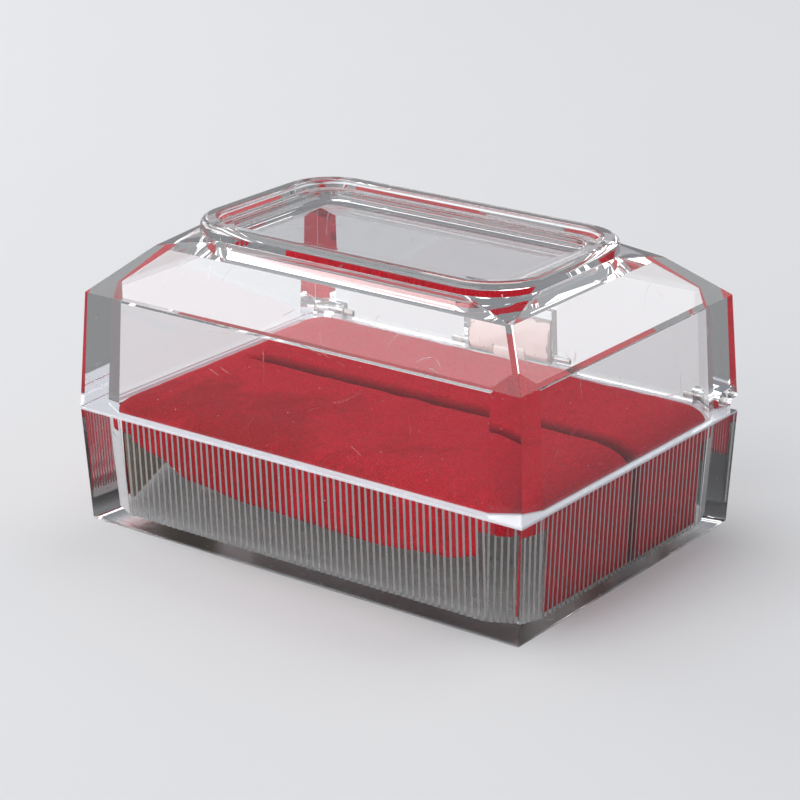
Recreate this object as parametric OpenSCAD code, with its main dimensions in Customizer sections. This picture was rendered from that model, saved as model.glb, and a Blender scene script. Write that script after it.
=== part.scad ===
// Clear hinged ring box with a velvet covered pad, closed.
// Sizes in mm. Origin at the bottom centre, +Z up, +X along the hinge, hinge side at +Y.

/* [Box] */
// Length at the parting line
box_l = 76; // [64:1:100]
// Width at the parting line
box_w = 54; // [46:1:72]
// Height of the base up to the parting line
base_h = 17.4; // [15:0.2:24]
// Thickness of the upright walls
wall = 2.3; // [2.1:0.1:2.8]
// Thickness of the base's floor
floor_t = 2; // [1.5:0.1:3]
// Lean of each base wall over the base's height
base_lean = 0.8; // [0.4:0.1:1.2]
// Leg of the 45 degree flats inside the corners
corner_flat = 4; // [3:0.25:5]

/* [Lid] */
// Height of the lid's upright walls
lid_wall_h = 17.2; // [13:0.2:24]
// Lean of each lid wall over its height
lid_lean = 1; // [0.6:0.1:1.4]
// Rise of the roof from the shoulder to the bead's foot
roof_rise = 7.9; // [6:0.1:10]
// Run of the roof's two end slopes, to the bead's foot
end_run = 8.7; // [8:0.1:12]
// Run of the roof's front and back slopes, to the bead's foot
side_run = 9.6; // [8:0.1:12]
// Thickness of the roof, square to its slopes
roof_t = 2.2; // [1.8:0.1:2.6]

/* [Bead] */
// Height of the bead above its foot
bead_h = 1.9; // [1.4:0.1:3]
// Outer radius of the bead's corners
bead_r = 8; // [7.8:0.1:10]
// Width of the bead's rounded crest
crest_w = 2.6; // [2:0.1:2.8]
// Depth of the dish below the crest
dish_depth = 2.4; // [1.6:0.1:2.6]
// Width of the ledge between the crest and the dish
ledge_w = 2.2; // [1.4:0.1:2.2]
// Drop of the ledge below the crest
ledge_drop = 1; // [0.8:0.1:1.2]
// Width of the dish's hollow slope
dish_run = 3; // [2:0.2:3.2]
// Height of the shallow pocket in the ceiling
ceiling_step = 0.8; // [0.5:0.1:1.2]

/* [Flutes] */
// Pitch of the flutes inside the base
flute_pitch = 1.06; // [0.9:0.02:1.5]
// Depth of the flutes
flute_depth = 0.35; // [0.2:0.05:0.5]
// Plain band between the rim and the flutes
flute_top = 0.5; // [0.3:0.1:1]

/* [Hinge] */
// Hinge axis, in from the back face and up from the parting line
hinge_inset = 1.25; // [1.15:0.05:1.4]
// Diameter of the two hinge pins
pin_d = 1.1; // [0.9:0.05:1.2]
// Length of each hinge pin
pin_l = 8.4; // [7.5:0.1:10]
// Length of each ear on the base
ear_w = 3.2; // [2.5:0.1:4]
// Distance from the end face to the ear
ear_in = 4.2; // [3.8:0.1:5]
// Radial clearance of a pin in its ear
pin_play = 0.05; // [0.02:0.01:0.1]
// Gap round each ear
ear_play = 0.2; // [0.15:0.05:0.3]
// Length of the bite in the lid's back corners that bares a pin's end
bite_l = 1.4; // [1:0.1:2]

/* [Spring] */
// Width of the spring leaf
leaf_w = 13.6; // [10:0.2:18]
// Height of the leaf above the parting line
leaf_h = 7; // [5:0.2:9]
// Thickness of the spring strip
leaf_t = 0.45; // [0.35:0.05:0.5]
// Width of the eye in the middle of the strip
eye_w = 4.4; // [3:0.2:6]
// Diameter of the spring's pin
spring_pin_d = 1; // [0.8:0.05:1.05]
// Length of the spring's pin
spring_pin_l = 20; // [18:0.5:26]
// Depth that the strip reaches down behind the pad
strip_drop = 9; // [6:0.5:12]
// Gap above the leaf in the lid's notch
notch_top = 1.7; // [1:0.1:2.5]
// Gap at each end of the leaf
notch_side = 0.5; // [0.3:0.1:1]

/* [Pad] */
// Gap between the flutes and the velvet
pad_gap = 0.35; // [0.3:0.05:0.6]
// Thickness of the velvet
velvet_t = 0.6; // [0.4:0.05:0.8]
// Height of the pad's crown above the parting line
crown_h = 2; // [1:0.1:3]
// Thickness of the card former
card_t = 0.8; // [0.6:0.1:1.2]
// Depth of the card's top below the parting line
card_drop = 2.2; // [1.8:0.1:3]
// Distance from the box's back face to the ring slit
slit_from_back = 25.8; // [20:0.2:30]
// Width of the ring slit
slit_w = 0.4; // [0.3:0.05:1]
// Width of the slot in the card under the slit
slot_w = 2.4; // [1.5:0.1:4]
// Depth of the back flap
back_flap = 8; // [5:0.5:11]

/* [Hidden] */
$fn = 48;
far = 200;
embed = 0.3;
press = 0.01;
strip_play = 0.1;
clear_tone = [0.82, 0.86, 0.9, 0.45];
steel_tone = [0.7, 0.7, 0.72];
leaf_tone = [0.93, 0.9, 0.82];
velvet_tone = [0.72, 0.02, 0.1];
foam_tone = [0.9, 0.86, 0.72];
card_tone = [0.66, 0.55, 0.4];

half_l = box_l / 2;
half_w = box_w / 2;
in_l = half_l - wall;
in_w = half_w - wall;
shoulder_z = base_h + lid_wall_h;
foot_z = shoulder_z + roof_rise;
top_z = foot_z + bead_h;
shoulder_l = half_l - lid_lean;
shoulder_w = half_w - lid_lean;
foot_l = shoulder_l - end_run;
foot_w = shoulder_w - side_run;
foot_margin = 0.15;
bead_l = foot_l - foot_margin;
bead_w = foot_w - foot_margin;
// Height over which the roof's corners turn from sharp hips to the foot's round corners.
turn_h = 1.8;
crest_round = 1.1;
crest_inner = 0.6;
lip_round = 0.4;
ceiling_in = 1.6;
ceiling_z = top_z - dish_depth - roof_t + embed - ceiling_step;

hinge_y = half_w - hinge_inset;
hinge_z = base_h + hinge_inset;
knuckle_r = hinge_inset - 0.05;
ear_r = hinge_inset - 0.1;
ear_mid = half_l - ear_in - ear_w / 2;
pocket_w = ear_w + 2 * ear_play;
bite_r = pin_d / 2 + 0.25;
pin_mid = half_l - bite_l + embed * 2 - pin_l / 2;

eye_play = 0.05;
eye_r = spring_pin_d / 2 + eye_play + leaf_t;
leaf_y = hinge_y - eye_r;
eye_gap = 0.15;
notch_w = leaf_w + 2 * notch_side;
notch_z = base_h + leaf_h + notch_top;

pad_l = in_l - flute_depth - pad_gap;
pad_w = in_w - flute_depth - pad_gap;
// The pad's corners keep the same gap from the flutes on the corner flats.
corner_spare = pad_l + pad_w - in_l - in_w + corner_flat + (flute_depth + pad_gap) * sqrt(2);
pad_r = corner_spare / (2 - sqrt(2));
card_z = base_h - card_drop;
slit_y = half_w - slit_from_back;
flap_clear = 0.3;
leg_w = 2 * (pad_w - pad_r - 1);
// Lower edge of the front flap: place along the box, and drop below the parting line.
front_edge = [[-31, 3.5], [-26, 5], [-19, 7.6], [-9, 8.5], [12, 9], [24, 8], [31.5, 6.2]];
front_edge_l = 63;
corner_n = 7;
ring_n = 4 * (corner_n + 1);
roll_side = 0.6;
// Crown of the pad: inset from its outline, and share of the crown's height.
crown_steps = [[0.5, 0.15], [1.7, 0.6], [3.4, 0.86], [6.2, 1]];

// Solid with one side view seen along Y and another seen along X.
module two_views(along_y, along_x) {
  intersection() {
    rotate([90, 0, 0]) linear_extrude(far, center = true) polygon(along_y);
    rotate([90, 0, 90]) linear_extrude(far, center = true) polygon(along_x);
  }
}

// Trapezoid from z0, half width a0, up to z1, half width a1.
function trapezoid(a0, z0, a1, z1) = [[-a0, z0], [a0, z0], [a1, z1], [-a1, z1]];

// Four leaning planes across the corners, square to the diagonals.
module corner_planes(reach0, z0, reach1, z1) {
  intersection_for (turn = [45, -45])
    rotate([0, 0, turn]) rotate([90, 0, 90]) linear_extrude(far, center = true)
      polygon(trapezoid(reach0, z0, reach1, z1));
}

// Distance along a diagonal from the centre to a corner's flat.
function diagonal(l, w, flat) = (l + w - flat) / sqrt(2);

// Block with the base's lean: half sizes l and w at the parting line, from z0 to z1.
module leaning_block(l, w, flat, z0, z1) {
  low = base_lean * (base_h - z0) / base_h;
  high = base_lean * (base_h - z1) / base_h;
  reach = diagonal(l, w, flat);
  intersection() {
    two_views(trapezoid(l - low, z0, l - high, z1), trapezoid(w - low, z0, w - high, z1));
    corner_planes(reach - low * sqrt(2), z0, reach - high * sqrt(2), z1);
  }
}

// Zigzag rack of flutes on a wall of the given length, tips towards +Y.
module rack(length) {
  count = floor(length / flute_pitch);
  start = -count * flute_pitch / 2;
  tips = [for (i = [0:2 * count]) [start + i * flute_pitch / 2, i % 2 == 0 ? 0 : flute_depth]];
  depth = base_h - floor_t - flute_top + embed;
  translate([0, 0, -flute_top - depth]) linear_extrude(depth)
    polygon(concat([[start, -embed]], tips, [[-start, -embed]]));
}

module racks() {
  tilt = atan(base_lean / base_h);
  corner_tilt = atan(base_lean * sqrt(2) / base_h);
  mid_l = in_l - corner_flat / 2;
  mid_w = in_w - corner_flat / 2;
  turn = [[1, 1, 135], [-1, 1, 225], [-1, -1, 315], [1, -1, 45]];
  translate([0, -in_w, base_h]) rotate([tilt, 0, 0]) rack(2 * (in_l - corner_flat));
  rotate([0, 0, 180]) translate([0, -in_w, base_h]) rotate([tilt, 0, 0]) rack(2 * (in_l - corner_flat));
  for (side = [90, 270])
    rotate([0, 0, side]) translate([0, -in_l, base_h]) rotate([tilt, 0, 0]) rack(2 * (in_w - corner_flat));
  for (corner = turn)
    translate([corner[0] * mid_l, corner[1] * mid_w, base_h]) rotate([0, 0, corner[2]])
      rotate([corner_tilt, 0, 0]) rack(corner_flat * sqrt(2));
}

module rod(radius, length, x) {
  translate([x - length / 2, hinge_y, hinge_z]) rotate([0, 90, 0]) cylinder(r = radius, h = length);
}

module slab(x0, x1, y0, y1, z0, z1) {
  translate([x0, y0, z0]) cube([x1 - x0, y1 - y0, z1 - z0]);
}

module base_ear(side) {
  x0 = side * ear_mid - ear_w / 2;
  difference() {
    union() {
      rod(ear_r, ear_w, side * ear_mid);
      slab(x0, x0 + ear_w, hinge_y - ear_r, hinge_y + ear_r, base_h - embed, hinge_z);
    }
    rod(pin_d / 2 + pin_play, ear_w + 1, side * ear_mid);
  }
}

module base_shell() {
  pocket_x = leaf_w / 2 + notch_side;
  color(clear_tone) {
    difference() {
      two_views(trapezoid(half_l - base_lean, 0, half_l, base_h), trapezoid(half_w - base_lean, 0, half_w, base_h));
      difference() {
        leaning_block(in_l, in_w, corner_flat, floor_t, base_h + 1);
        difference() {
          racks();
          slab(-pocket_x, pocket_x, 0, half_w, 0, far);
        }
      }
      slab(-pocket_x, pocket_x, leaf_y - strip_play, leaf_y + leaf_t + strip_play, base_h - strip_drop - embed, far);
    }
    for (side = [-1, 1])
      base_ear(side);
  }
}

// Side view of the lid's outside: upright wall, then the roof up to where its corners turn round.
function lid_view(half, run) =
  let (shoulder = half - lid_lean, up = roof_rise - turn_h, top = shoulder - run * up / roof_rise)
  [[-half, base_h], [half, base_h], [shoulder, shoulder_z], [top, shoulder_z + up], [-top, shoulder_z + up],
    [-shoulder, shoulder_z]];

// Side view of the lid's inside, a wall and a roof's thickness in.
function cavity_view(half, run, z1) =
  let (steep = roof_rise / run, lean = lid_lean / lid_wall_h, drop = roof_t * sqrt(1 + steep * steep),
    inner = half - wall,
    // Height above the parting line where the inner wall meets the inner slope.
    meet = (lid_wall_h - drop + steep * (half - lid_lean - inner)) / (1 - steep * lean),
    top = half - lid_lean - (z1 + drop - shoulder_z) / steep)
  [[-inner - lean, base_h - 1], [inner + lean, base_h - 1], [inner - lean * meet, base_h + meet], [top, z1],
    [-top, z1], [-inner + lean * meet, base_h + meet]];

// Sweeps a profile, x out from the corner's centre, round the bead's outline.
module round_sweep(l, w, r) {
  for (corner = [[1, 1, 0], [-1, 1, 90], [-1, -1, 180], [1, -1, 270]])
    translate([corner[0] * (l - r), corner[1] * (w - r), 0]) rotate([0, 0, corner[2]])
      rotate_extrude(angle = 90, $fn = 96) children();
  for (turn = [0, 180]) {
    rotate([0, 0, turn]) translate([l - r, w - r, 0]) rotate([90, 0, 0]) linear_extrude(2 * (w - r)) children();
    rotate([0, 0, turn]) translate([l - r, w - r, 0]) rotate([90, 0, 90])
      translate([0, 0, -2 * (l - r)]) linear_extrude(2 * (l - r)) children();
  }
}

module round_plate(l, w, r, z0, z1) {
  translate([0, 0, z0]) linear_extrude(z1 - z0) polygon(round_outline(-l, l, -w, w, r, r));
}

// Outline with corner radius r_low at its low Y side and r_high at its high Y side.
function round_outline(x0, x1, y0, y1, r_low, r_high) =
  [for (corner = [[x1, y1, r_high, 0], [x0, y1, r_high, 90], [x0, y0, r_low, 180], [x1, y0, r_low, 270]],
    step = [0:corner_n])
    let (r = corner[2], a = corner[3] + step * 90 / corner_n,
      cx = corner[0] + (corner[0] == x1 ? -r : r), cy = corner[1] + (corner[1] == y1 ? -r : r))
    [cx + r * cos(a), cy + r * sin(a)]];

// Quarter turn of radius r, from level at height z down to upright at x.
function turned_edge(x, z, r) = [for (a = [90:15:180]) [x + r + r * cos(a), z - r + r * sin(a)]];

// Section of the bead: upright outside, rounded crest, a ledge, then a hollow side down to the dish.
module bead_section() {
  low = shoulder_z + roof_rise / 2;
  crest_in = bead_r - crest_w;
  lip_in = crest_in - ledge_w;
  ledge_z = top_z - ledge_drop;
  dish_z = top_z - dish_depth;
  cup = ledge_z - lip_round - dish_z;
  outside = [for (a = [0:15:90]) [bead_r - crest_round + crest_round * cos(a), top_z - crest_round + crest_round * sin(a)]];
  hollow = [for (a = [10:10:90]) [lip_in - dish_run + dish_run * cos(a), dish_z + cup - cup * sin(a)]];
  polygon(concat([[lip_in - dish_run, low], [bead_r, low]], outside, turned_edge(crest_in, top_z, crest_inner),
    [[crest_in - ledge_drop + crest_inner, ledge_z]], turned_edge(lip_in, ledge_z, lip_round), hollow));
}

// Upright walls and roof; near their top, the hips turn into the round corners of the bead's foot.
module walls_and_roof() {
  hull() {
    two_views(lid_view(half_l, end_run), lid_view(half_w, side_run));
    round_plate(foot_l, foot_w, bead_r + foot_margin, foot_z - embed / 10, foot_z);
  }
}

module lid_outside() {
  reach = crest_w + ledge_w + dish_run;
  low = shoulder_z + roof_rise / 2;
  difference() {
    walls_and_roof();
    round_plate(bead_l - embed, bead_w - embed, bead_r - embed, top_z - dish_depth - embed, far);
  }
  round_sweep(bead_l, bead_w, bead_r) bead_section();
  round_plate(bead_l - reach + embed, bead_w - reach + embed, bead_r - reach + embed, low, top_z - dish_depth);
}

module lid_shell() {
  reach = diagonal(in_l, in_w, corner_flat);
  lean = lid_lean * sqrt(2) / lid_wall_h;
  color(clear_tone) difference() {
    lid_outside();
    intersection() {
      two_views(cavity_view(half_l, end_run, ceiling_z), cavity_view(half_w, side_run, ceiling_z));
      corner_planes(reach + lean, base_h - 1, reach - lean * lid_wall_h, shoulder_z + roof_rise);
    }
    round_plate(bead_l - ceiling_in, bead_w - ceiling_in, bead_r - ceiling_in / 2, ceiling_z - 1,
      ceiling_z + ceiling_step);
    lid_hinge_cuts();
    slab(-notch_w / 2, notch_w / 2, in_w - wall, half_w + 1, base_h - 1, notch_z);
    rod(spring_pin_d / 2 - press, spring_pin_l, 0);
  }
}

module lid_hinge_cuts() {
  difference() {
    slab(-far / 2, far / 2, hinge_y, far / 2, base_h - 1, hinge_z);
    rod(knuckle_r, far, 0);
  }
  for (side = [-1, 1]) {
    x = side * ear_mid;
    bite_x = side * (half_l - bite_l + far / 2);
    rod(ear_r + ear_play, pocket_w, x);
    slab(x - pocket_w / 2, x + pocket_w / 2, hinge_y, far / 2, base_h - 1, hinge_z + ear_r + ear_play);
    slab(x - pocket_w / 2, x + pocket_w / 2, hinge_y - ear_r - ear_play, hinge_y + 1, base_h - 1, hinge_z);
    rod(pin_d / 2 - press, pin_l, side * pin_mid);
    rod(bite_r, far, bite_x);
    slab(bite_x - far / 2, bite_x + far / 2, hinge_y, far / 2, base_h - 1, hinge_z + bite_r);
    slab(bite_x - far / 2, bite_x + far / 2, hinge_y - bite_r, far / 2, base_h - 1, hinge_z);
  }
}

module hinge_pin(side) {
  color(steel_tone) rod(pin_d / 2, pin_l, side * pin_mid);
}

module hinge_pin_left() {
  hinge_pin(-1);
}

module hinge_pin_right() {
  hinge_pin(1);
}

module spring_pin() {
  color(steel_tone) rod(spring_pin_d / 2, spring_pin_l, 0);
}

// Rolled eyes of the strip, of one width at each given place along X.
module eyes(width, places) {
  for (x = places)
    rod(eye_r, width, x);
}

module spring_leaf() {
  side_w = (leaf_w - eye_w) / 2 - eye_gap;
  side_x = leaf_w / 2 - side_w / 2;
  color(leaf_tone) difference() {
    union() {
      eyes(side_w, [-side_x, side_x]);
      slab(-leaf_w / 2, leaf_w / 2, leaf_y, leaf_y + leaf_t, hinge_z, base_h + leaf_h);
    }
    rod(spring_pin_d / 2 + eye_play, far, 0);
    rod(eye_r + eye_gap, eye_w + 2 * eye_gap, 0);
  }
}

module spring_strip() {
  color(steel_tone) difference() {
    union() {
      eyes(eye_w, [0]);
      slab(-eye_w / 2, eye_w / 2, leaf_y, leaf_y + leaf_t, base_h - strip_drop, hinge_z);
      slab(-leaf_w / 2, leaf_w / 2, leaf_y, leaf_y + leaf_t, base_h - strip_drop, base_h);
    }
    rod(spring_pin_d / 2 + eye_play, far, 0);
  }
}

module card_former() {
  l = pad_l - velvet_t;
  w = pad_w - velvet_t;
  color(card_tone) {
    difference() {
      leaning_block(l, w, pad_r, card_z - card_t, card_z);
      slab(-l + pad_r + 2, l - pad_r - 2, slit_y - slot_w / 2, slit_y + slot_w / 2, 0, base_h);
    }
    intersection() {
      difference() {
        leaning_block(l, w, pad_r, floor_t, card_z - card_t / 2);
        leaning_block(l - card_t, far, far / 4, floor_t - 1, base_h);
      }
      slab(-l, l, -leg_w / 2, leg_w / 2, floor_t, base_h);
    }
  }
}

// Rings of points up one side of the pad, between y0 and y1, inside the velvet by inner.
function roll_rings(y0, y1, r0, r1, inner) =
  let (lean = base_lean / base_h, sides = [[lean * card_drop, card_z], [lean * roll_side, base_h - roll_side]],
    crown = [for (s = crown_steps) [s[0], base_h + crown_h * s[1] - inner]])
  [for (s = concat(sides, crown))
    let (tight = inner + s[0], soft = inner + s[0] / 2)
    for (p = round_outline(-pad_l + tight, pad_l - tight, y0 + tight, y1 - tight, max(r0 - soft, 0.3),
      max(r1 - soft, 0.3)))
      [p[0], p[1], s[1]]];

// Quads between ring a and ring b of a list of rings.
function band(a, b, flip) = [for (i = [0:ring_n - 1])
  let (j = (i + 1) % ring_n, q = [a * ring_n + i, a * ring_n + j, b * ring_n + j, b * ring_n + i])
  flip ? q : [q[3], q[2], q[1], q[0]]];

function flat_bands(count, first, flip) =
  [for (k = [0:count - 2]) each band(first + k, first + k + 1, flip)];

module foam_roll(y0, y1, r0, r1) {
  up = roll_rings(y0, y1, r0, r1, velvet_t);
  steps = len(crown_steps) + 2;
  cap = [for (i = [0:ring_n - 1]) steps * ring_n - 1 - i];
  polyhedron(up, concat([[for (i = [0:ring_n - 1]) i]], flat_bands(steps, 0, false), [cap]));
}

// Open-bottomed skin over one foam roll, a velvet's thickness thick.
module velvet_roll(y0, y1, r0, r1) {
  out = roll_rings(y0, y1, r0, r1, 0);
  in = roll_rings(y0, y1, r0, r1, velvet_t);
  steps = len(crown_steps) + 2;
  top = [for (i = [0:ring_n - 1]) steps * ring_n - 1 - i];
  roof = [for (i = [0:ring_n - 1]) (2 * steps - 1) * ring_n + i];
  polyhedron(concat(out, in), concat(flat_bands(steps, 0, false), [top], flat_bands(steps, steps, true), [roof],
    band(steps, 0, false)));
}

module foam_back() {
  color(foam_tone) foam_roll(slit_y + slit_w / 2, pad_w, 1, pad_r);
}

module foam_front() {
  color(foam_tone) foam_roll(-pad_w, slit_y - slit_w / 2, pad_r, 1);
}

module velvet_cover() {
  color(velvet_tone) {
    velvet_roll(slit_y + slit_w / 2, pad_w, 1, pad_r);
    velvet_roll(-pad_w, slit_y - slit_w / 2, pad_r, 1);
    intersection() {
      difference() {
        leaning_block(pad_l, pad_w, pad_r, floor_t, card_z + embed);
        leaning_block(pad_l - velvet_t, pad_w - velvet_t, pad_r, floor_t - 1, base_h);
      }
      velvet_flaps();
    }
  }
}

// What is left of the velvet's skirt: full flaps at the ends, shorter ones in front and behind.
module velvet_flaps() {
  top = card_z + embed;
  stretch = 2 * (pad_l - pad_r) / front_edge_l;
  drops = [for (p = front_edge) [p[0] * stretch, base_h - p[1]]];
  for (side = [-1, 1])
    slab(side > 0 ? pad_l - wall : -far, side > 0 ? far : wall - pad_l, -pad_w + pad_r, pad_w - pad_r,
      floor_t + flap_clear, top);
  slab(-pad_l + pad_r, pad_l - pad_r, pad_w - wall, far, base_h - back_flap, top);
  translate([0, -pad_w + wall, 0]) rotate([90, 0, 0]) linear_extrude(far)
    polygon(concat([[drops[len(drops) - 1][0], top], [drops[0][0], top]], drops));
}

base_shell();
lid_shell();
hinge_pin_left();
hinge_pin_right();
spring_pin();
spring_leaf();
spring_strip();
card_former();
foam_back();
foam_front();
velvet_cover();
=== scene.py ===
"""Ring display box: clear hinged shells, velvet pad, spring and pins, on a pale studio floor."""
import math

import bmesh
import bpy
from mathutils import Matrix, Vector, noise


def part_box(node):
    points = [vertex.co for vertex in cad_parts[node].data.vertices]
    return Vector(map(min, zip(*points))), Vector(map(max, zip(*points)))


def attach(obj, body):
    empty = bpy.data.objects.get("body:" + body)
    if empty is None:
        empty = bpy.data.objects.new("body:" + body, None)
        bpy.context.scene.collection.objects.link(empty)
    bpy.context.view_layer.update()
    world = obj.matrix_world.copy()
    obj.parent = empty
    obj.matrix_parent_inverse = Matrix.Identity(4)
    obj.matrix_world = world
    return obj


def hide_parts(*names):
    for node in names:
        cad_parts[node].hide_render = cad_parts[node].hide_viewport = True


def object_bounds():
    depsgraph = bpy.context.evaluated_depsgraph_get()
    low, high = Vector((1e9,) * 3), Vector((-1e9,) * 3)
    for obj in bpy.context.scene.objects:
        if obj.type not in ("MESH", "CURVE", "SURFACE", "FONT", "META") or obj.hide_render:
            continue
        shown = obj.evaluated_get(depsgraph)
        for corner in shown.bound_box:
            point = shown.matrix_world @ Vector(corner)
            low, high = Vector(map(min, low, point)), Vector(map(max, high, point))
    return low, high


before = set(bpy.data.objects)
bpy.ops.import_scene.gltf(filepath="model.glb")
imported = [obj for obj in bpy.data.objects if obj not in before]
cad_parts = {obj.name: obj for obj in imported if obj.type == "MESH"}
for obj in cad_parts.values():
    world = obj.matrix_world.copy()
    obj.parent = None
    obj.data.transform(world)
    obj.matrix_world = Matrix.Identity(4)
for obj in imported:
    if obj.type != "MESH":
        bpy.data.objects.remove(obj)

bl_info = {
    "name": "Ring display box",
    "version": (1, 0, 0),
    "blender": (4, 5, 0),
    "location": "3D View > Sidebar > Ring box",
    "description": "Dresses the packed solids of a hinged clear ring box and sets up its studio",
    "category": "Object",
}

# Places and lengths are in metres. Shaders work in millimetres.
MM = 0.001
bpy.context.view_layer.update()
SOLIDS_BOX = [list(corner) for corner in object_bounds()]
HALF_L, HALF_W = SOLIDS_BOX[1][:2]
VELVET_LOW, VELVET_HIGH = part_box("velvet_cover")
FOAM_BACK_LOW, FOAM_BACK_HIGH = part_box("foam_back")
FOAM_FRONT_LOW, FOAM_FRONT_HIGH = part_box("foam_front")
LEAF_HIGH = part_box("spring_leaf")[1]
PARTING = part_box("lid_shell")[0].z
SLIT_Y = (FOAM_BACK_LOW.y + FOAM_FRONT_HIGH.y) / 2
# The base's walls lean in by 0.8 mm over their height of 17.4 mm.
BASE_LEAN = 0.8 / 17.4


# Shader helpers

class Sock:
    """A shader socket whose maths reads as an expression."""

    def __init__(self, tree, socket):
        self.tree = tree
        self.socket = socket

    def maths(self, operation, *values):
        step = self.tree.nodes.new("ShaderNodeMath")
        step.operation = operation
        for slot, value in zip(step.inputs, values):
            plug(self.tree, slot, value)
        return Sock(self.tree, step.outputs[0])

    def __add__(self, other):
        return self.maths("ADD", self, other)

    def __sub__(self, other):
        return self.maths("SUBTRACT", self, other)

    def __rsub__(self, other):
        return self.maths("SUBTRACT", other, self)

    def __mul__(self, other):
        return self.maths("MULTIPLY", self, other)

    def __lt__(self, other):
        return self.maths("LESS_THAN", self, other)

    def __gt__(self, other):
        return self.maths("GREATER_THAN", self, other)

    def __abs__(self):
        return self.maths("ABSOLUTE", self)

    __radd__ = __add__
    __rmul__ = __mul__


def plug(tree, slot, value):
    """Links a socket or sets a plain value. Colours are given without their alpha."""
    if isinstance(value, Sock):
        tree.links.new(value.socket, slot)
    elif isinstance(value, bpy.types.NodeSocket):
        tree.links.new(value, slot)
    elif slot.type == "RGBA":
        slot.default_value = (*value, 1.0)
    else:
        slot.default_value = value


class Nodes:
    """The node tree of a material or world, being put together."""

    def __init__(self, owner):
        owner.use_nodes = True
        self.owner = owner
        self.tree = owner.node_tree
        self.tree.nodes.clear()

    def node(self, kind, sockets=None, **settings):
        """Adds one node: its settings first, then the values or links of its sockets."""
        made = self.tree.nodes.new(kind)
        for name, value in settings.items():
            setattr(made, name, value)
        for key, value in (sockets or {}).items():
            plug(self.tree, made.inputs[key], value)
        return made

    def out(self, made, name=0):
        return Sock(self.tree, made.outputs[name])

    def blend(self, share, first, second):
        """Shader mix."""
        return self.out(self.node("ShaderNodeMixShader", {0: share, 1: first, 2: second}))


class Finish(Nodes):
    """A material being put together. Its sizes and places are in millimetres."""

    def __init__(self, name):
        super().__init__(bpy.data.materials.new(name))
        self.place = self.node("ShaderNodeTexCoord").outputs["Object"]

    def scaled(self, stretch=(1, 1, 1), shift=(0, 0, 0)):
        """The object's own coordinates, stretched and shifted."""
        made = self.node("ShaderNodeMapping", {
            "Vector": self.place, "Location": shift, "Scale": tuple(part / MM for part in stretch)})
        return made.outputs[0]

    def along(self, axis):
        """The place along one of the object's own axes."""
        return self.out(self.node("ShaderNodeSeparateXYZ", {"Vector": self.scaled()}), axis)

    def clouds(self, size, detail=3.0, rough=0.5, twist=0.0, stretch=(1, 1, 1), shift=(0, 0, 0)):
        """Noise with lumps of about the given size."""
        made = self.node("ShaderNodeTexNoise", {
            "Vector": self.scaled(stretch, shift), "Scale": 1 / size, "Detail": detail,
            "Roughness": rough, "Distortion": twist})
        return self.out(made, "Fac")

    def step(self, value, low, high, to_low=0.0, to_high=1.0):
        """Smooth step from low to high."""
        made = self.node(
            "ShaderNodeMapRange",
            {"Value": value, "From Min": low, "From Max": high, "To Min": to_low, "To Max": to_high},
            interpolation_type="SMOOTHSTEP")
        return self.out(made, "Result")

    def mix(self, share, first, second):
        """Colour mix: sockets 6 and 7 take the colours, and output 2 gives theirs."""
        return self.out(self.node("ShaderNodeMix", {0: share, 6: first, 7: second}, data_type="RGBA"), 2)

    def specks(self, size, reach, share, shift=(0, 0, 0)):
        """Round specks: one per cell of the given size, kept in only a share of the cells."""
        cells = self.node("ShaderNodeTexVoronoi", {"Vector": self.scaled(shift=shift), "Scale": 1 / size})
        pick = self.node("ShaderNodeSeparateColor", {"Color": cells.outputs["Color"]})
        spots = self.step(self.out(cells, "Distance"), reach * 1.3, reach * 0.7)
        return spots * (self.out(pick, 0) < share)

    def hairlines(self, size, share, stretch, shift):
        """Long thin scratches: a contour of stretched clouds, broken up by smaller clouds."""
        contour = self.clouds(size, 0.0, stretch=stretch, shift=shift) - 0.5
        line = self.step(contour * contour, HAIRLINE * HAIRLINE, 0.0)
        return line * self.step(self.clouds(size * 0.3, 1.0, shift=shift), share, share + 0.08)

    def bump(self, height, depth, below=None):
        """Bump whose height of 1 stands for depth."""
        sockets = {"Height": height, "Distance": depth * MM, "Strength": 1.0}
        if below is not None:
            sockets["Normal"] = below
        return self.out(self.node("ShaderNodeBump", sockets), "Normal")

    def surface(self, sockets):
        """One Principled shader."""
        return self.out(self.node("ShaderNodeBsdfPrincipled", sockets), "BSDF")

    def done(self, shader):
        self.node("ShaderNodeOutputMaterial", {"Surface": shader})
        return self.owner


def dimmed(colour, share):
    return [part * share for part in colour]


# Materials

# Colours of the finishes, and of rays that go straight on through the plastic.
STRAIGHT_ON = (0.982, 0.985, 0.988)
DUST = (0.86, 0.86, 0.92)
PILE_LINT = (0.85, 0.72, 0.72)
STAIN = (0.62, 0.55, 0.47)
DOT = (0.08, 0.06, 0.05)
TORN_EDGE = (0.42, 0.4, 0.4)
CHIP = (0.3, 0.27, 0.24)
WIRE = (0.62, 0.61, 0.6)
TARNISH = (0.34, 0.3, 0.26)
BOARD_DARK = (0.36, 0.28, 0.2)
BOARD_LIGHT = (0.52, 0.43, 0.32)
BOARD_FLECK = (0.2, 0.15, 0.1)
# The pore colour is painted shade in the foam's hollows.
FOAM_PORE_SHADE = (0.5, 0.42, 0.24)
FOAM_FACE = (0.85, 0.79, 0.58)

PLASTIC_IOR = 1.49
PLASTIC_ROUGH = 0.008
SCRATCH_ROUGH = 0.25
# Half width of a scratch, as a difference in the clouds' value.
HAIRLINE = 0.0028
# Glossy turns after which a ray caught in the plastic goes straight on: anywhere, and in the tray's
# floor slab, which ends at the slab's top.
MOST_TURNS = 3.5
SLAB_TURNS = 0.5
SLAB_TOP = 2.3
# Squared distances from the parting plane: where the milky rim starts to show, where it is full,
# and the faces in the plane itself, which stay clearer.
RIM_OUTER = 0.07
RIM_INNER = 0.03
RIM_PLANE = 0.0005


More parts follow.
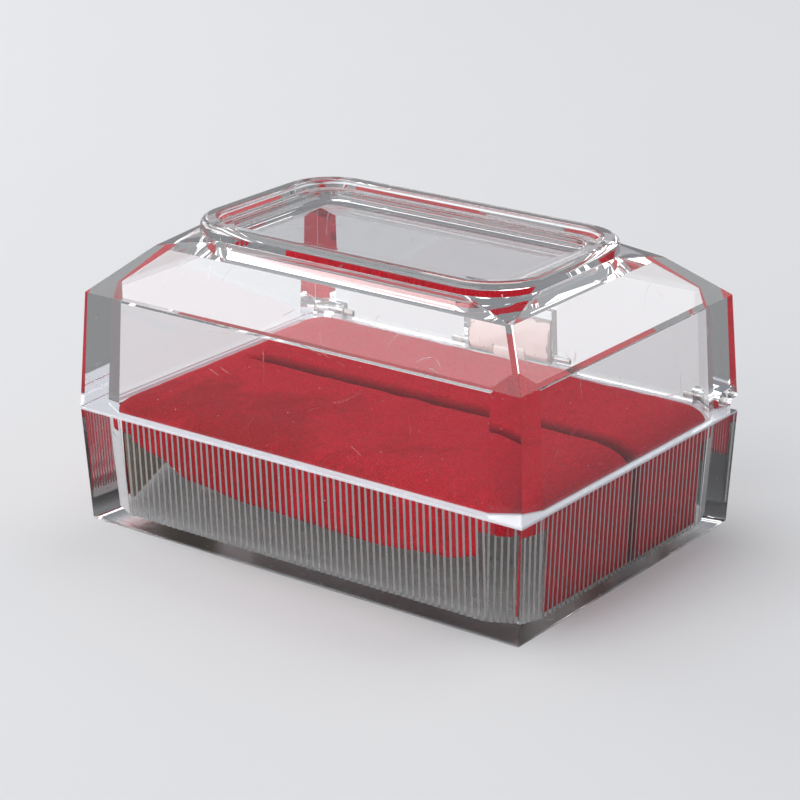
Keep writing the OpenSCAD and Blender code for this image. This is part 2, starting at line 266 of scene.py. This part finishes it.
def clear_plastic(name, seed, looks):
    """Clear moulded plastic with haze, hairline scratches, dust and a milky rim."""
    f = Finish(name)
    rays = f.node("ShaderNodeLightPath")
    height = f.along("Z")
    haze = f.step(f.clouds(9, 2.0, 0.6, shift=(seed, 0, 0)), 0.5, 0.72)
    lines = f.hairlines(14, 0.56, (0.5, 0.5, 1.3), (seed, 3, 7)) \
        + f.hairlines(12, 0.58, (1.3, 1.1, 0.4), (5, seed, 1))
    scuffs = f.step(height, 0.5, 0.1)
    rough = PLASTIC_ROUGH + haze * looks.haze + lines * SCRATCH_ROUGH + scuffs * SCRATCH_ROUGH
    glass = f.surface({
        "Base Color": looks.plastic_colour, "Transmission Weight": 1.0, "IOR": PLASTIC_IOR,
        "Roughness": rough, "Normal": f.bump(lines, -0.008)})
    milky = f.surface({"Base Color": DUST, "Roughness": 0.9})
    squared = (height - PARTING / MM) * (height - PARTING / MM)
    rim = f.step(squared, RIM_OUTER, RIM_INNER) * (0.15 + (squared > RIM_PLANE) * 0.85) * looks.rim
    dust = f.specks(1.5, 0.042, 0.2, (seed, 2, 2))
    dusty = f.blend(dust * looks.dust + rim, glass, milky)
    through = f.out(f.node("ShaderNodeBsdfTransparent", {"Color": STRAIGHT_ON}))
    lit = f.blend(f.out(rays, "Is Shadow Ray"), dusty, through)
    turns = f.out(rays, "Glossy Depth")
    caught = (turns > MOST_TURNS) + (turns > SLAB_TURNS) * (height < SLAB_TOP)
    return f.done(f.blend(f.out(rays, "Is Diffuse Ray") + caught, lit, through))


def velvet(name, looks):
    """Short red pile with brushed patches that partly stand for a painted sheen, lint, a soft sheen and
    painted shade behind the slit.
    """
    f = Finish(name)
    x, y = f.along("X"), f.along("Y")
    # Deeper red towards the front left corner and lighter elsewhere: partly pile brushed different ways,
    # partly a painted sheen.
    from_corner = y * 0.012 + x * 0.004
    nap_and_sheen = f.step(f.clouds(15, 5.0, 0.65, 0.5, shift=(4, 1, 0)) + from_corner, 0.18, 0.36)
    fine = f.clouds(0.28, 3.0, 0.7)
    tufts = f.clouds(1.1, 3.0, 0.6)
    base = f.mix(nap_and_sheen * 0.75 + f.step(tufts, 0.35, 0.7) * 0.25, looks.velvet_deep, looks.velvet_light)
    # The fine grain darkens the colour where its bump is low: partly the pile's grain, partly painted
    # shade in its dips.
    shade = f.step(fine, 0.34, 0.64, 0.6, 1.0)
    shaded_grain = f.out(f.node("ShaderNodeVectorMath", {0: base, "Scale": shade}, operation="SCALE"))
    lint = f.specks(2.2, 0.045, 0.3) + f.specks(1.1, 0.045, 0.1, (3, 3, 3))
    linty = f.mix(lint * 0.75, shaded_grain, PILE_LINT)
    off_slit = y - SLIT_Y / MM
    # Painted shade on the slope behind the slit: darkest just behind its throat, fading up the slope.
    painted_slit_shade = f.step(off_slit, -0.15, 0.1) * f.step(off_slit, 3.4, 0.9) * f.step(x, -29.5, -26)
    return f.done(f.surface({
        "Base Color": f.mix(painted_slit_shade * 0.8, linty, dimmed(looks.velvet_deep, 0.1)),
        "Normal": f.bump(fine, 0.42, f.bump(tufts, 0.3)), "Roughness": 1.0, "Specular IOR Level": 0.15,
        "Sheen Weight": 0.3, "Sheen Roughness": 0.3, "Sheen Tint": looks.velvet_sheen}))


def cream_steel(name, looks):
    """Cream lacquer on a steel strip: stains, specks, thin chips and torn edges."""
    f = Finish(name)
    stain = f.step(f.clouds(3.2, 4.0, 0.6), 0.5, 0.75)
    chips = f.step(f.clouds(0.9, 5.0, 0.7, 0.3, shift=(2, 0, 5)), 0.66, 0.7)
    from_side = LEAF_HIGH.x / MM - abs(f.along("X"))
    from_edge = from_side.maths("MINIMUM", from_side, LEAF_HIGH.z / MM - f.along("Z"))
    torn = f.step(f.clouds(1.6, 5.0, 0.7, 0.4, shift=(7, 1, 2)) * 2.4 - from_edge, 0.72, 0.86)
    worn = f.mix(stain * 0.3, looks.leaf_colour, STAIN)
    dotted = f.mix(f.specks(1.3, 0.08, 0.3) * 0.85, worn, DOT)
    return f.done(f.surface({
        "Base Color": f.mix(chips, f.mix(torn, dotted, TORN_EDGE), CHIP),
        "Roughness": 0.42 + stain * 0.2 - chips * 0.1,
        "Normal": f.bump(f.clouds(0.35, 3.0), 0.02, f.bump(chips + torn, -0.03)),
        "Coat Roughness": 0.3}))


def drawn_steel(name):
    """Dull drawn wire with fine lengthwise lines and a little tarnish."""
    f = Finish(name)
    drawn = f.clouds(0.12, 3.0, 0.6, stretch=(0.06, 1, 1))
    tarnish = f.step(f.clouds(1.4, 4.0, 0.6), 0.45, 0.7)
    return f.done(f.surface({
        "Base Color": f.mix(tarnish, WIRE, TARNISH), "Metallic": 1.0,
        "Roughness": 0.24 + drawn * 0.16 + tarnish * 0.2, "Normal": f.bump(drawn, 0.01)}))


def grey_board(name):
    """Pressed board: fibres, flecks and a matt face."""
    f = Finish(name)
    fibres = f.clouds(0.5, 5.0, 0.7, 1.2, stretch=(0.35, 1, 1))
    colour = f.mix(f.step(fibres, 0.3, 0.7), BOARD_DARK, BOARD_LIGHT)
    return f.done(f.surface({
        "Base Color": f.mix(f.specks(1.2, 0.12, 0.25) * 0.5, colour, BOARD_FLECK),
        "Roughness": 0.92, "Specular IOR Level": 0.2, "Normal": f.bump(fibres, 0.06)}))


def soft_foam(name):
    """Open foam with small pores, which are darkened with painted shade."""
    f = Finish(name)
    cells = f.node("ShaderNodeTexVoronoi", {"Vector": f.scaled(), "Scale": 1 / 0.45})
    # The pores are darker: painted shade in the hollows.
    walls = f.step(f.out(cells, "Distance"), 0.1, 0.5)
    return f.done(f.surface({
        "Base Color": f.mix(walls, FOAM_PORE_SHADE, FOAM_FACE), "Roughness": 0.95, "Specular IOR Level": 0.2,
        "Normal": f.bump(walls, 0.12)}))


def pale_floor(name, colour):
    """A matt floor, dimmer where it is seen in a reflection."""
    f = Finish(name)
    grain = f.clouds(22, 4.0, 0.5)
    pale = f.surface({
        "Base Color": f.mix(grain * 0.12, colour, dimmed(colour, 0.93)),
        "Roughness": 0.55 + grain * 0.15, "Specular IOR Level": 0.25})
    dim = f.surface({"Base Color": dimmed(colour, 0.3), "Roughness": 0.7})
    mirrored = f.out(f.node("ShaderNodeLightPath"), "Glossy Depth") > 0.5
    return f.done(f.blend(mirrored, pale, dim))


# Mesh helpers

def new_object(name, mesh, body, material):
    """Links a mesh as a piece that rides on a body and takes a slot's finish."""
    made = bpy.data.objects.new(name, mesh)
    bpy.context.scene.collection.objects.link(made)
    mesh.materials.append(material)
    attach(made, body)
    return made


def smooth_mesh(shape, name, sharp=None):
    """Turns a shape into a mesh with smooth faces, but sharp edges above an angle in degrees."""
    mesh = bpy.data.meshes.new(name)
    shape.to_mesh(mesh)
    shape.free()
    mesh.materials.clear()
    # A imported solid's stored normals don't fit its rounded copy.
    for stored in [layer for layer in mesh.attributes if layer.name == "custom_normal"]:
        mesh.attributes.remove(stored)
    for face in mesh.polygons:
        face.use_smooth = True
    if sharp is not None:
        mesh.set_sharp_from_angle(angle=math.radians(sharp))
    return mesh


def moulding(node, name, *rounds):
    """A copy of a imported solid, with true flat faces and rounded edges.

    Each of rounds gives a radius, its number of steps and a test that picks the edges.
    """
    shape = bmesh.new()
    shape.from_mesh(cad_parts[node].data)
    bmesh.ops.remove_doubles(shape, verts=shape.verts, dist=1e-7)
    bmesh.ops.dissolve_limit(shape, angle_limit=math.radians(0.6), verts=shape.verts, edges=shape.edges)
    for radius, steps, pick in rounds:
        sharp = [edge for edge in shape.edges if len(edge.link_faces) == 2
                 and edge.calc_face_angle(0) > math.radians(24) and pick(edge)]
        bmesh.ops.bevel(shape, geom=sharp, offset=radius, offset_type="OFFSET", segments=steps,
                        profile=0.5, affect="EDGES", clamp_overlap=True, loop_slide=True)
    return smooth_mesh(shape, name, sharp=28)


def any_edge(edge):
    return True


def foot_edge(edge):
    """True for the edges round the box's underside."""
    return all(vert.co.z < 0.05 * MM for vert in edge.verts)


def outer_edge(edge):
    """True for the long outer edges of a moulding, away from the foot and the hinge."""
    first, second = (vert.co for vert in edge.verts)
    long_enough = (first - second).length > 3 * MM
    middle = (first + second) / 2
    in_wall = abs(middle.x) > HALF_L - 1.9 * MM or abs(middle.y) > HALF_W - 1.9 * MM
    in_roof = middle.z > 31 * MM
    above_foot = middle.z > 2 * MM
    at_hinge = middle.y > HALF_W - 3.5 * MM and abs(middle.z - PARTING) < 4 * MM
    return long_enough and (in_wall or in_roof) and above_foot and not at_hinge


def band(shape, above, below, joined=None):
    """Fills the faces between two closed rows of corners, or those that joined allows."""
    count = len(above)
    for i in range(count):
        j = (i + 1) % count
        if joined is None or joined(i, j):
            shape.faces.new((above[i], below[i], below[j], above[j]))


def smooth_step(low, high, value):
    share = min(max((value - low) / (high - low), 0.0), 1.0)
    return share * share * (3 - 2 * share)


# Velvet and pads

# Grid lines in from each edge of the pad, close together where it rolls over.
EDGE_PLACES = [part * MM for part in (0, 0.1, 0.25, 0.45, 0.75, 1.15, 1.7, 2.4, 3.3, 4.4)]
GRID_PITCH = 0.62 * MM
CORNER = EDGE_PLACES[-1]
# The crown's rolled edge: its width, how far below the parting line it starts, and what it rises
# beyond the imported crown's height.
CROWN_ROLL = 6.2 * MM
CROWN_START = 0.6 * MM
CROWN_RISE = 0.45 * MM
# Grid lines across the slit, out from its middle, and where along the pad it starts and is full.
SLIT_ROWS = [part * MM for part in (
    -1.5, -1.1, -0.8, -0.6, -0.45, -0.35, -0.25, -0.16, -0.08, 0,
    0.08, 0.16, 0.25, 0.35, 0.45, 0.6, 0.85, 1.2, 1.7, 2.3, 3.0)]
SLIT_START = -30.0 * MM
SLIT_FULL = -25.5 * MM
# Drops below the parting line: the skirt all round, the back flap, and the front flap's lower edge,
# as pairs of place and drop in millimetres. The end flaps reach down to the velvet's packed foot.
SKIRT_DROP = 2.9 * MM
BACK_DROP = 8 * MM
FRONT_EDGE = [(-31, 3.5), (-26, 5.0), (-19, 7.6), (-9, 8.5), (12, 9.0), (24, 8.0), (31.5, 6.2)]
# The foam blocks stand in from their packed sides by the gap, and below their packed tops by the sink.
FOAM_GAP = 0.1 * MM
FOAM_SINK = 0.35 * MM


def places_between(half):
    """Grid places from -half to half, close together near both ends."""
    inner = half - EDGE_PLACES[-1]
    count = max(2, round(2 * inner / GRID_PITCH))
    middle = [-inner + 2 * inner * i / count for i in range(1, count)]
    ends = [half - place for place in EDGE_PLACES]
    return sorted([-end for end in ends] + middle + ends)


def rounded(x, y, half_l, half_w):
    """Moves a point of a rectangle into the same rectangle with round corners."""
    core_l, core_w = half_l - CORNER, half_w - CORNER
    a = (abs(x) - core_l) / CORNER
    b = (abs(y) - core_w) / CORNER
    if a <= 0 or b <= 0:
        return x, y
    a, b = a * math.sqrt(1 - b * b / 2), b * math.sqrt(1 - a * a / 2)
    return math.copysign(core_l + a * CORNER, x), math.copysign(core_w + b * CORNER, y)


def inside_by(x, y, half_l, half_w):
    """Distance of a point from the rounded outline."""
    a, b = abs(x) - (half_l - CORNER), abs(y) - (half_w - CORNER)
    return CORNER - math.hypot(max(a, 0), max(b, 0)) - min(max(a, b), 0)


def slit_drop(x, y, pad):
    """Depth of the ring slit's groove below the pad's crown."""
    off = y - SLIT_Y
    if off > 0:
        shoulder = 1.5 * MM * max(1 - off / pad.slit_slope, 0) ** 2
    else:
        shoulder = 0.5 * MM * math.exp(off / (0.4 * MM))
    throat = pad.slit_depth * (1 - smooth_step(0.12 * MM, 0.6 * MM, abs(off)))
    return smooth_step(SLIT_START, SLIT_FULL, x) * (shoulder + throat)


def front_drop(x):
    """Drop of the front flap's lower edge below the parting line."""
    at = x / MM
    if at <= FRONT_EDGE[0][0]:
        return FRONT_EDGE[0][1] * MM
    for (x0, d0), (x1, d1) in zip(FRONT_EDGE, FRONT_EDGE[1:]):
        if at <= x1:
            return (d0 + (d1 - d0) * smooth_step(x0, x1, at)) * MM
    return FRONT_EDGE[-1][1] * MM


def flap_drop(x, y, half_l, half_w):
    """How far the velvet hangs below the parting line at a place on the outline."""
    if abs(y) <= half_w - CORNER:
        return PARTING - VELVET_LOW.z
    if abs(x) > half_l - CORNER:
        return SKIRT_DROP
    return max(front_drop(x), SKIRT_DROP) if y < 0 else BACK_DROP


def pad_height(x, y, half_l, half_w, pad):
    """Height of the pad's top: crowned, a little lumpy, with the slit's groove."""
    reach = min(max(inside_by(x, y, half_l, half_w) / CROWN_ROLL, 0), 1)
    rise = (1 - (1 - reach) ** 2) ** 0.55
    coarse = noise.noise(Vector((x, y, 0)) * 260) * 0.16
    small = noise.noise(Vector((x, y, 3)) * 900) * 0.05
    crown = VELVET_HIGH.z - PARTING + CROWN_RISE
    height = PARTING - CROWN_START + crown * rise + (coarse + small) * MM * rise
    edge_fade = 0.35 + 0.65 * min(reach * 3, 1)
    return height - slit_drop(x, y, pad) * edge_fade


def velvet_mesh(name, pad):
    """One sheet: crowned top with the slit's groove, rolled edges, a short skirt and four flaps."""
    half_l, half_w = VELVET_HIGH.x, VELVET_HIGH.y
    slit_rows = [SLIT_Y + part for part in SLIT_ROWS]
    margin = 0.3 * MM
    ys = [y for y in places_between(half_w)
          if not slit_rows[0] - margin < y < slit_rows[-1] + margin]
    ys = sorted(ys + slit_rows)
    shape = bmesh.new()
    grid = []
    for x in places_between(half_l):
        column = []
        for y in ys:
            px, py = rounded(x, y, half_l, half_w)
            column.append(shape.verts.new((px, py, pad_height(px, py, half_l, half_w, pad))))
        grid.append(column)
    for left, right in zip(grid, grid[1:]):
        for low in range(len(ys) - 1):
            shape.faces.new((left[low], right[low], right[low + 1], left[low + 1]))
    ring = [column[0] for column in grid] + grid[-1][1:]
    ring += [column[-1] for column in reversed(grid[:-1])]
    ring += list(reversed(grid[0][1:-1]))
    hang_skirt(shape, ring, half_l, half_w)
    return smooth_mesh(shape, name)


def hang_skirt(shape, ring, half_l, half_w):
    """Hangs the skirt from the pad's outline, and the flaps from the skirt."""
    tops = [vert.co.copy() for vert in ring]

    def hung(top, height):
        """The corner below top: it leans in with the base's walls, and ripples."""
        inset = BASE_LEAN * (PARTING - height)
        ripple = noise.noise(Vector((top.x * 120, top.y * 120, height * 90))) * 0.12 * MM
        inset += max(ripple, -inset * 0.5)
        # Only a corner near an end or a side follows its lean.
        at_end = math.copysign(1, top.x) if abs(top.x / half_l) > 0.87 else 0
        at_side = math.copysign(1, top.y) if abs(top.y / half_w) > 0.82 else 0
        return Vector((top.x - at_end * inset, top.y - at_side * inset, height))

    foot = PARTING - SKIRT_DROP
    above = ring
    for share in (0.3, 0.65, 1.0):
        below = [shape.verts.new(hung(top, top.z + (foot - top.z) * share)) for top in tops]
        band(shape, above, below)
        above = below
    drops = [flap_drop(top.x, top.y, half_l, half_w) for top in tops]
    hangs = [drop > SKIRT_DROP + 0.1 * MM for drop in drops]

    def same_flap(i, j):
        return hangs[i] and hangs[j] and abs(drops[i] - drops[j]) < 3 * MM

    for share in (0.12, 0.28, 0.46, 0.64, 0.82, 1.0):
        below = [shape.verts.new(hung(top, foot - (drop - SKIRT_DROP) * share)) if hang else None
                 for top, drop, hang in zip(tops, drops, hangs)]
        band(shape, above, below, same_flap)
        above = [low or high for low, high in zip(below, above)]
    loose = [vert for vert in shape.verts if not vert.link_faces]
    bmesh.ops.delete(shape, geom=loose, context="VERTS")


def foam_mesh(name, low, high, round_low, round_high):
    """A foam block: rolled top edge, flat underside, corners that follow the pad's outline."""
    shape = bmesh.new()
    centre = (low + high) / 2
    half = (high - low) / 2
    turns = 9

    def outline(inset, height):
        points = []
        for cx, cy, radius, first in ((1, 1, round_high, 0), (-1, 1, round_high, 90),
                                      (-1, -1, round_low, 180), (1, -1, round_low, 270)):
            bend = max(radius - inset, 0.3 * MM)
            for step in range(turns):
                angle = math.radians(first + 90 * step / (turns - 1))
                points.append(shape.verts.new((
                    centre.x + cx * (half.x - inset - bend) + bend * math.cos(angle),
                    centre.y + cy * (half.y - inset - bend) + bend * math.sin(angle), height)))
        return points

    # Inset of each level in millimetres, and its height as a share of the block's.
    levels = [(0.05, 0.0), (0.0, 0.08), (0.0, 0.3), (0.12, 0.5), (0.4, 0.66),
              (1.0, 0.8), (2.0, 0.9), (3.4, 0.96), (5.2, 0.99), (7.4, 1.0)]
    rings = [outline(inset * MM, low.z + (high.z - low.z) * up) for inset, up in levels]
    for below, above in zip(rings, rings[1:]):
        band(shape, above, below)
    shape.faces.new(list(reversed(rings[0])))
    shape.faces.new(rings[-1])
    return smooth_mesh(shape, name, sharp=50)


# Settings

class PlasticSettings(bpy.types.PropertyGroup):
    edge: bpy.props.FloatProperty(
        name="Edge rounding", description="Rounding of the mouldings' outer edges",
        default=0.13 * MM, min=0.05 * MM, max=0.5 * MM, unit="LENGTH", precision=5)
    foot_edge: bpy.props.FloatProperty(
        name="Foot rounding", description="Rounding of the underside's edges",
        default=0.9 * MM, min=0.1 * MM, max=1.2 * MM, unit="LENGTH", precision=5)
    haze: bpy.props.FloatProperty(
        name="Haze", description="Roughness that the hazy patches add",
        default=0.03, min=0, max=0.3)
    dust: bpy.props.FloatProperty(
        name="Dust", description="How much the dust specks cover",
        default=0.8, min=0, max=1, subtype="FACTOR")
    rim: bpy.props.FloatProperty(
        name="Rim", description="How milky the shells' meeting rims are",
        default=0.7, min=0, max=1, subtype="FACTOR")
    plastic_colour: bpy.props.FloatVectorProperty(
        name="Plastic", description="Tint of the clear plastic",
        default=(0.985, 0.99, 0.995), min=0, max=1, subtype="COLOR")


class PadSettings(bpy.types.PropertyGroup):
    velvet_deep: bpy.props.FloatVectorProperty(
        name="Deep red", description="Velvet where the pile lies away",
        default=(0.5, 0.0, 0.004), min=0, max=1, subtype="COLOR")
    # The light red is partly a painted sheen where the pile stands up.
    velvet_light: bpy.props.FloatVectorProperty(
        name="Light red", description="Velvet where the pile stands up",
        default=(0.8, 0.003, 0.022), min=0, max=1, subtype="COLOR")
    velvet_sheen: bpy.props.FloatVectorProperty(
        name="Sheen", description="Tint of the velvet's sheen",
        default=(1.0, 0.15, 0.25), min=0, max=1, subtype="COLOR")
    thickness: bpy.props.FloatProperty(
        name="Velvet thickness", description="Thickness of the velvet and its backing",
        default=0.5 * MM, min=0.2 * MM, max=0.8 * MM, unit="LENGTH", precision=5)
    slit_slope: bpy.props.FloatProperty(
        name="Slit slope", description="Width of the rolled slope behind the slit",
        default=3.6 * MM, min=1 * MM, max=6 * MM, unit="LENGTH", precision=5)
    slit_depth: bpy.props.FloatProperty(
        name="Slit depth", description="Depth of the slit's throat",
        default=1.8 * MM, min=0.5 * MM, max=2.5 * MM, unit="LENGTH", precision=5)


class MetalSettings(bpy.types.PropertyGroup):
    leaf_colour: bpy.props.FloatVectorProperty(
        name="Leaf", description="Cream lacquer of the spring",
        default=(0.95, 0.93, 0.88), min=0, max=1, subtype="COLOR")
    edge: bpy.props.FloatProperty(
        name="Edge rounding", description="Rounding of the metal pieces' edges",
        default=0.06 * MM, min=0.01 * MM, max=0.2 * MM, unit="LENGTH", precision=5)


class StageSettings(bpy.types.PropertyGroup):
    floor_colour: bpy.props.FloatVectorProperty(
        name="Floor", description="Colour of the studio floor",
        default=(0.8, 0.8, 0.81), min=0, max=1, subtype="COLOR")
    floor_size: bpy.props.FloatProperty(
        name="Floor size", description="Side of the studio floor",
        default=3.2, min=1, max=10, unit="LENGTH")
    camera_place: bpy.props.FloatVectorProperty(
        name="Camera", description="Place of the camera",
        default=(0.21667, -0.29068, 0.15099), subtype="TRANSLATION", unit="LENGTH")
    camera_turn: bpy.props.FloatVectorProperty(
        name="Camera turn", description="Rotation of the camera",
        default=tuple(math.radians(part) for part in (69.955, 0.291, 36.776)),
        subtype="EULER", unit="ROTATION")
    camera_lens: bpy.props.FloatProperty(
        name="Lens", description="Focal length in millimetres",
        default=122.63, min=20, max=300, unit="CAMERA")


# Operators

class RINGBOX_OT_shells(bpy.types.Operator):
    """Makes the clear base and lid with rounded edges"""
    bl_idname = "ringbox.shells"
    bl_label = "Clear shells"

    def execute(self, context):
        looks = context.scene.ringbox_plastic
        outer = (looks.edge, 2, outer_edge)
        base = moulding("base_shell", "clear_base", (looks.foot_edge, 4, foot_edge), outer)
        lid = moulding("lid_shell", "clear_lid", outer)
        # The rims would lie in one plane, so the lid's is lifted clear.
        for vert in lid.vertices:
            if abs(vert.co.z - PARTING) < 0.01 * MM:
                vert.co.z += 0.03 * MM
        for mesh, body, seed in ((base, "base", 3), (lid, "lid", 11)):
            plastic = clear_plastic(f"{body} plastic", seed, looks)
            piece = new_object(mesh.name, mesh, body, plastic)
            flat = piece.modifiers.new("even faces", "WEIGHTED_NORMAL")
            flat.keep_sharp = True
            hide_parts(f"{body}_shell")
        return {"FINISHED"}


class RINGBOX_OT_pad(bpy.types.Operator):
    """Makes the velvet sheet and the two foam pads under it"""
    bl_idname = "ringbox.pad"
    bl_label = "Velvet pad"

    def execute(self, context):
        pad = context.scene.ringbox_pad
        foam = soft_foam("pad foam")
        tight = Vector((FOAM_GAP, FOAM_GAP, 0))
        for node, low, high, rounds in (
                ("foam_back", FOAM_BACK_LOW, FOAM_BACK_HIGH, (1 * MM, 4 * MM)),
                ("foam_front", FOAM_FRONT_LOW, FOAM_FRONT_HIGH, (4 * MM, 1 * MM))):
            top = high - tight - Vector((0, 0, FOAM_SINK))
            mesh = foam_mesh(node, low + tight, top, *rounds)
            block = new_object(f"pad_{node}", mesh, "base", foam)
            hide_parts(node)
        mesh = velvet_mesh("velvet_sheet", pad)
        sheet = new_object("velvet_sheet", mesh, "base", velvet("red velvet", pad))
        skin = sheet.modifiers.new("cloth thickness", "SOLIDIFY")
        skin.thickness = pad.thickness
        skin.offset = -1.0
        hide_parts("velvet_cover")
        return {"FINISHED"}


class RINGBOX_OT_hardware(bpy.types.Operator):
    """Makes the spring, its pin and the hinge pins, and finishes the card"""
    bl_idname = "ringbox.hardware"
    bl_label = "Spring, pins and card"

    def execute(self, context):
        looks = context.scene.ringbox_metal
        cream = cream_steel("cream lacquer", looks)
        steel = drawn_steel("drawn wire")
        for node, body, slot_name, material in (
                ("spring_leaf", "spring", "cream_steel", cream),
                ("spring_strip", "base", "cream_steel", cream),
                ("spring_pin", "lid", "steel", steel),
                ("hinge_pin_left", "lid", "steel", steel),
                ("hinge_pin_right", "lid", "steel", steel)):
            mesh = moulding(node, f"{node}_finished", (looks.edge, 2, any_edge))
            piece = new_object(f"{node}_finished", mesh, body, material)
            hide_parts(node)
        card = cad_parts["card_former"]
        card.data.materials.clear()
        card.data.materials.append(grey_board("grey board"))
        return {"FINISHED"}


class RINGBOX_OT_stage(bpy.types.Operator):
    """Sets up the pale floor, the soft lamps and the camera"""
    bl_idname = "ringbox.stage"
    bl_label = "Studio"

    def execute(self, context):
        stage = context.scene.ringbox_stage
        lay_floor(stage)
        light_world()
        hang_lamps()
        place_camera(stage)
        context.scene.view_settings.view_transform = "Standard"
        return {"FINISHED"}


# Stage

BACKDROP = (0.86, 0.86, 0.87)
SOFT_LIGHT = (0.9, 0.94, 1.0)
AIM = Vector((0, 0, 0.02))
# Name, place, sides in metres and power in watts.
LAMPS = (
    ("top softbox", (-0.62, -0.14, 0.9), (1.0, 1.0), 6.6),
    ("back softbox", (0.23, 0.83, 0.69), (0.8, 0.7), 3.0),
    ("side strip", (-0.9, 0.1, 0.25), (0.5, 0.3), 1.6),
    ("front softbox", (-0.35, -1.0, 0.4), (1.2, 0.7), 7.0),
)


def stand(name, data, place, turn):
    """Puts a lamp or camera in the scene."""
    holder = bpy.data.objects.new(name, data)
    holder.location = place
    holder.rotation_euler = turn
    bpy.context.scene.collection.objects.link(holder)
    return holder


def lay_floor(stage):
    shape = bmesh.new()
    bmesh.ops.create_grid(shape, x_segments=8, y_segments=8, size=stage.floor_size / 2)
    mesh = bpy.data.meshes.new("studio_floor")
    shape.to_mesh(mesh)
    shape.free()
    mesh.materials.append(pale_floor("studio floor", stage.floor_colour))
    stand("studio_floor", mesh, (0, 0, -0.05 * MM), (0, 0, 0))


def light_world():
    """A pale backdrop for straight views, and a dim soft light for everything else."""
    world = bpy.data.worlds.new("studio")
    bpy.context.scene.world = world
    n = Nodes(world)
    rays = n.node("ShaderNodeLightPath")
    seen = n.out(n.node("ShaderNodeBackground", {"Color": BACKDROP, "Strength": 1.0}))
    soft = n.out(n.node("ShaderNodeBackground", {"Color": SOFT_LIGHT, "Strength": 0.28}))
    straight = n.out(rays, "Glossy Depth") < 0.5
    direct = (n.out(rays, "Is Camera Ray") + n.out(rays, "Is Transmission Ray")) * straight
    n.node("ShaderNodeOutputWorld", {"Surface": n.blend(direct, soft, seen)})


def hang_lamps():
    for name, place, size, power in LAMPS:
        lamp = bpy.data.lights.new(name, "AREA")
        lamp.shape = "RECTANGLE"
        lamp.size, lamp.size_y = size
        lamp.energy = power
        stand(name, lamp, place, (AIM - Vector(place)).to_track_quat("-Z", "Y").to_euler())


def place_camera(stage):
    camera = bpy.data.cameras.new("camera")
    camera.lens = stage.camera_lens
    camera.sensor_width = 36
    camera.clip_start = 0.01
    bpy.context.scene.camera = stand("camera", camera, stage.camera_place, stage.camera_turn)


# Panel

class RINGBOX_PT_panel(bpy.types.Panel):
    """Settings and steps of the ring box"""
    bl_idname = "RINGBOX_PT_panel"
    bl_label = "Ring box"
    bl_space_type = "VIEW_3D"
    bl_region_type = "UI"
    bl_category = "Ring box"

    def draw(self, context):
        for group, (_, operator) in STEPS.items():
            box = self.layout.box()
            settings = getattr(context.scene, group)
            for name in settings.bl_rna.properties.keys():
                if name not in ("rna_type", "name"):
                    box.prop(settings, name)
            box.operator(operator.bl_idname)


# Settings in the scene, with their class and the operator that uses them.
STEPS = {
    "ringbox_plastic": (PlasticSettings, RINGBOX_OT_shells),
    "ringbox_pad": (PadSettings, RINGBOX_OT_pad),
    "ringbox_metal": (MetalSettings, RINGBOX_OT_hardware),
    "ringbox_stage": (StageSettings, RINGBOX_OT_stage),
}
CLASSES = [item for pair in STEPS.values() for item in pair] + [RINGBOX_PT_panel]


def register():
    for item in CLASSES:
        bpy.utils.register_class(item)
    for name, (group, _) in STEPS.items():
        setattr(bpy.types.Scene, name, bpy.props.PointerProperty(type=group))


def unregister():
    for name in STEPS:
        delattr(bpy.types.Scene, name)
    for item in reversed(CLASSES):
        bpy.utils.unregister_class(item)


def main():
    register()
    bpy.ops.ringbox.stage()
    bpy.ops.ringbox.hardware()
    bpy.ops.ringbox.pad()
    bpy.ops.ringbox.shells()
    bpy.context.view_layer.update()


if __name__ == "__main__":
    main()
